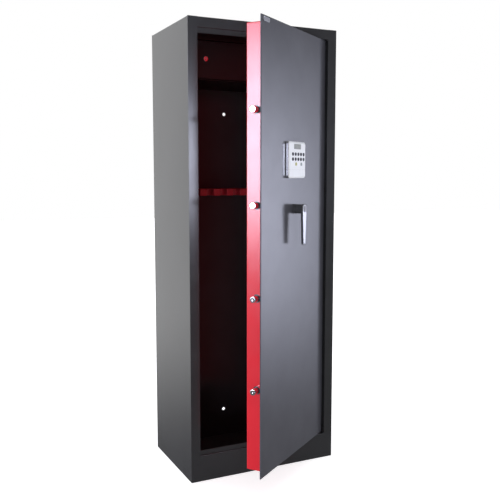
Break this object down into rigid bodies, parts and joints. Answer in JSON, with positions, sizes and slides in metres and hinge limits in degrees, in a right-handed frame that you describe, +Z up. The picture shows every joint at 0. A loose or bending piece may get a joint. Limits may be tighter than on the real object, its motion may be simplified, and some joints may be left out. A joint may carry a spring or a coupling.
{
  "type": "gun safe",
  "caption": "Tall sheet-steel gun safe with a side-hinged door, sliding bolts worked by a lever, a keypad lock, a barrel rack and a lockable ammunition box.",
  "frame": {"origin": "centre of the base's underside, on the floor", "axes": "+Z up; the door side faces -Y; +X is to the right seen from the front, the hinge side"},
  "size_m": [0.54, 0.6108, 1.5],
  "materials": {
    "cabinet_paint": "fine-textured anthracite powder coat",
    "door_paint": "glossy anthracite enamel",
    "red_paint": "gloss red enamel",
    "black_lining": "satin black enamel",
    "mat_rubber": "black ribbed rubber",
    "zinc_steel": "zinc-plated steel",
    "bolt_chrome": "polished chrome",
    "handle_chrome": "satin chrome",
    "dark_steel": "blackened steel",
    "keypad_white": "silver-white moulded plastic",
    "keypad_grey": "grey moulded plastic",
    "key_navy": "dark blue moulded keys",
    "button_olive": "olive moulded button",
    "button_green": "grey-green moulded button",
    "display": "grey display window",
    "brass": "satin brass lock cylinder",
    "circuit_board": "circuit board",
    "rack_rubber": "dark red moulded rubber"
  },
  "bodies": {
    "cabinet": {"side_left": "cabinet_paint", "side_right": "cabinet_paint", "top_panel": "cabinet_paint", "base_panel": "cabinet_paint", "back_panel": "cabinet_paint", "floor_mat": "mat_rubber", "stile_left": "cabinet_paint", "stile_right": "cabinet_paint", "rail_top": "cabinet_paint", "rail_bottom": "cabinet_paint", "hinge_bracket_top": "zinc_steel", "hinge_bracket_bottom": "zinc_steel", "hinge_pin_top": "zinc_steel", "hinge_pin_bottom": "zinc_steel", "gun_rack": "rack_rubber", "ammo_floor": "black_lining", "ammo_header": "black_lining", "ammo_hinge_pin": "zinc_steel"},
    "door": {"door_plate": "door_paint", "pan_walls": "red_paint", "pan_cover": "red_paint", "badge": "zinc_steel", "bolt_bush_1": "dark_steel", "bolt_bush_2": "dark_steel", "bolt_bush_3": "dark_steel", "bolt_bush_4": "dark_steel", "handle_boss": "dark_steel", "solenoid_body": "zinc_steel", "control_board": "circuit_board", "battery_box": "keypad_grey", "keypad_base": "keypad_grey", "keypad_housing": "keypad_white", "keypad_display": "display"},
    "bolts": {"bolt_bar": "zinc_steel", "bolt_1": "bolt_chrome", "bolt_2": "bolt_chrome", "bolt_3": "bolt_chrome", "bolt_4": "bolt_chrome"},
    "handle": {"lever": "handle_chrome", "handle_neck": "dark_steel", "lever_cap": "keypad_grey", "spindle": "zinc_steel"},
    "plunger": {"plunger": "bolt_chrome"},
    "key_cover": {"key_cover": "keypad_white"},
    "override": {"override_lock": "brass"},
    "ammo_door": {"ammo_door": "black_lining"},
    "ammo_lock": {"ammo_lock": "bolt_chrome", "ammo_cam": "zinc_steel"},
    "button_enter": {"button_enter": "button_olive"},
    "button_clear": {"button_clear": "button_green"},
    "key_1": {"key_1": "key_navy"},
    "key_2": {"key_2": "key_navy"},
    "key_3": {"key_3": "key_navy"},
    "key_4": {"key_4": "key_navy"},
    "key_5": {"key_5": "key_navy"},
    "key_6": {"key_6": "key_navy"},
    "key_7": {"key_7": "key_navy"},
    "key_8": {"key_8": "key_navy"},
    "key_9": {"key_9": "key_navy"},
    "key_0": {"key_0": "key_navy"}
  },
  "joints": [
    {"name": "door_hinge", "type": "hinge", "parent": "cabinet", "child": "door", "pos_m": [0.212, -0.1645, 0], "axis": [0, 0, 1], "range_deg": [-35.5, 69.5]},
    {"name": "handle_turn", "type": "hinge", "parent": "door", "child": "handle", "pos_m": [0.0395, -0.3029, 0.9037], "axis": [-0.5807, 0.8141, 0], "range_deg": [0, 90]},
    {"name": "bolt_slide", "type": "slide", "parent": "door", "child": "bolts", "axis": [0.8141, 0.5807, 0], "range_m": [0, 0.0226]},
    {"name": "plunger_slide", "type": "slide", "parent": "door", "child": "plunger", "axis": [0.5807, -0.8141, 0], "range_m": [-0.007, 0]},
    {"name": "key_cover_slide", "type": "slide", "parent": "door", "child": "key_cover", "axis": [0, 0, -1], "range_m": [0, 0.026]},
    {"name": "override_turn", "type": "hinge", "parent": "door", "child": "override", "pos_m": [0.03547, -0.30577, 1.014], "axis": [-0.5807, 0.8141, 0], "range_deg": [0, 90]},
    {"name": "ammo_hinge", "type": "hinge", "parent": "cabinet", "child": "ammo_door", "pos_m": [0.252, -0.0695, 1.3235], "axis": [0, 0, 1], "range_deg": [0, 30]},
    {"name": "ammo_lock_turn", "type": "hinge", "parent": "ammo_door", "child": "ammo_lock", "pos_m": [-0.17, -0.077, 1.39], "axis": [0, 1, 0], "range_deg": [0, 90]},
    {"name": "key_1_press", "type": "slide", "parent": "door", "child": "key_1", "axis": [-0.5807, 0.8141, 0], "range_m": [0, 0.0012], "stiffness_N_per_m": 400},
    {"name": "key_2_press", "type": "slide", "parent": "door", "child": "key_2", "axis": [-0.5807, 0.8141, 0], "range_m": [0, 0.0012], "stiffness_N_per_m": 400},
    {"name": "key_3_press", "type": "slide", "parent": "door", "child": "key_3", "axis": [-0.5807, 0.8141, 0], "range_m": [0, 0.0012], "stiffness_N_per_m": 400},
    {"name": "key_4_press", "type": "slide", "parent": "door", "child": "key_4", "axis": [-0.5807, 0.8141, 0], "range_m": [0, 0.0012], "stiffness_N_per_m": 400},
    {"name": "key_5_press", "type": "slide", "parent": "door", "child": "key_5", "axis": [-0.5807, 0.8141, 0], "range_m": [0, 0.0012], "stiffness_N_per_m": 400},
    {"name": "key_6_press", "type": "slide", "parent": "door", "child": "key_6", "axis": [-0.5807, 0.8141, 0], "range_m": [0, 0.0012], "stiffness_N_per_m": 400},
    {"name": "key_7_press", "type": "slide", "parent": "door", "child": "key_7", "axis": [-0.5807, 0.8141, 0], "range_m": [0, 0.0012], "stiffness_N_per_m": 400},
    {"name": "key_8_press", "type": "slide", "parent": "door", "child": "key_8", "axis": [-0.5807, 0.8141, 0], "range_m": [0, 0.0012], "stiffness_N_per_m": 400},
    {"name": "key_9_press", "type": "slide", "parent": "door", "child": "key_9", "axis": [-0.5807, 0.8141, 0], "range_m": [0, 0.0012], "stiffness_N_per_m": 400},
    {"name": "key_0_press", "type": "slide", "parent": "door", "child": "key_0", "axis": [-0.5807, 0.8141, 0], "range_m": [0, 0.0012], "stiffness_N_per_m": 400},
    {"name": "button_enter_press", "type": "slide", "parent": "door", "child": "button_enter", "axis": [-0.5807, 0.8141, 0], "range_m": [0, 0.0012], "stiffness_N_per_m": 400},
    {"name": "button_clear_press", "type": "slide", "parent": "door", "child": "button_clear", "axis": [-0.5807, 0.8141, 0], "range_m": [0, 0.0012], "stiffness_N_per_m": 400}
  ],
  "couplings": [
    {"joint": "bolt_slide", "follows": "handle_turn", "m_per_rad": 0.014387}
  ]
}
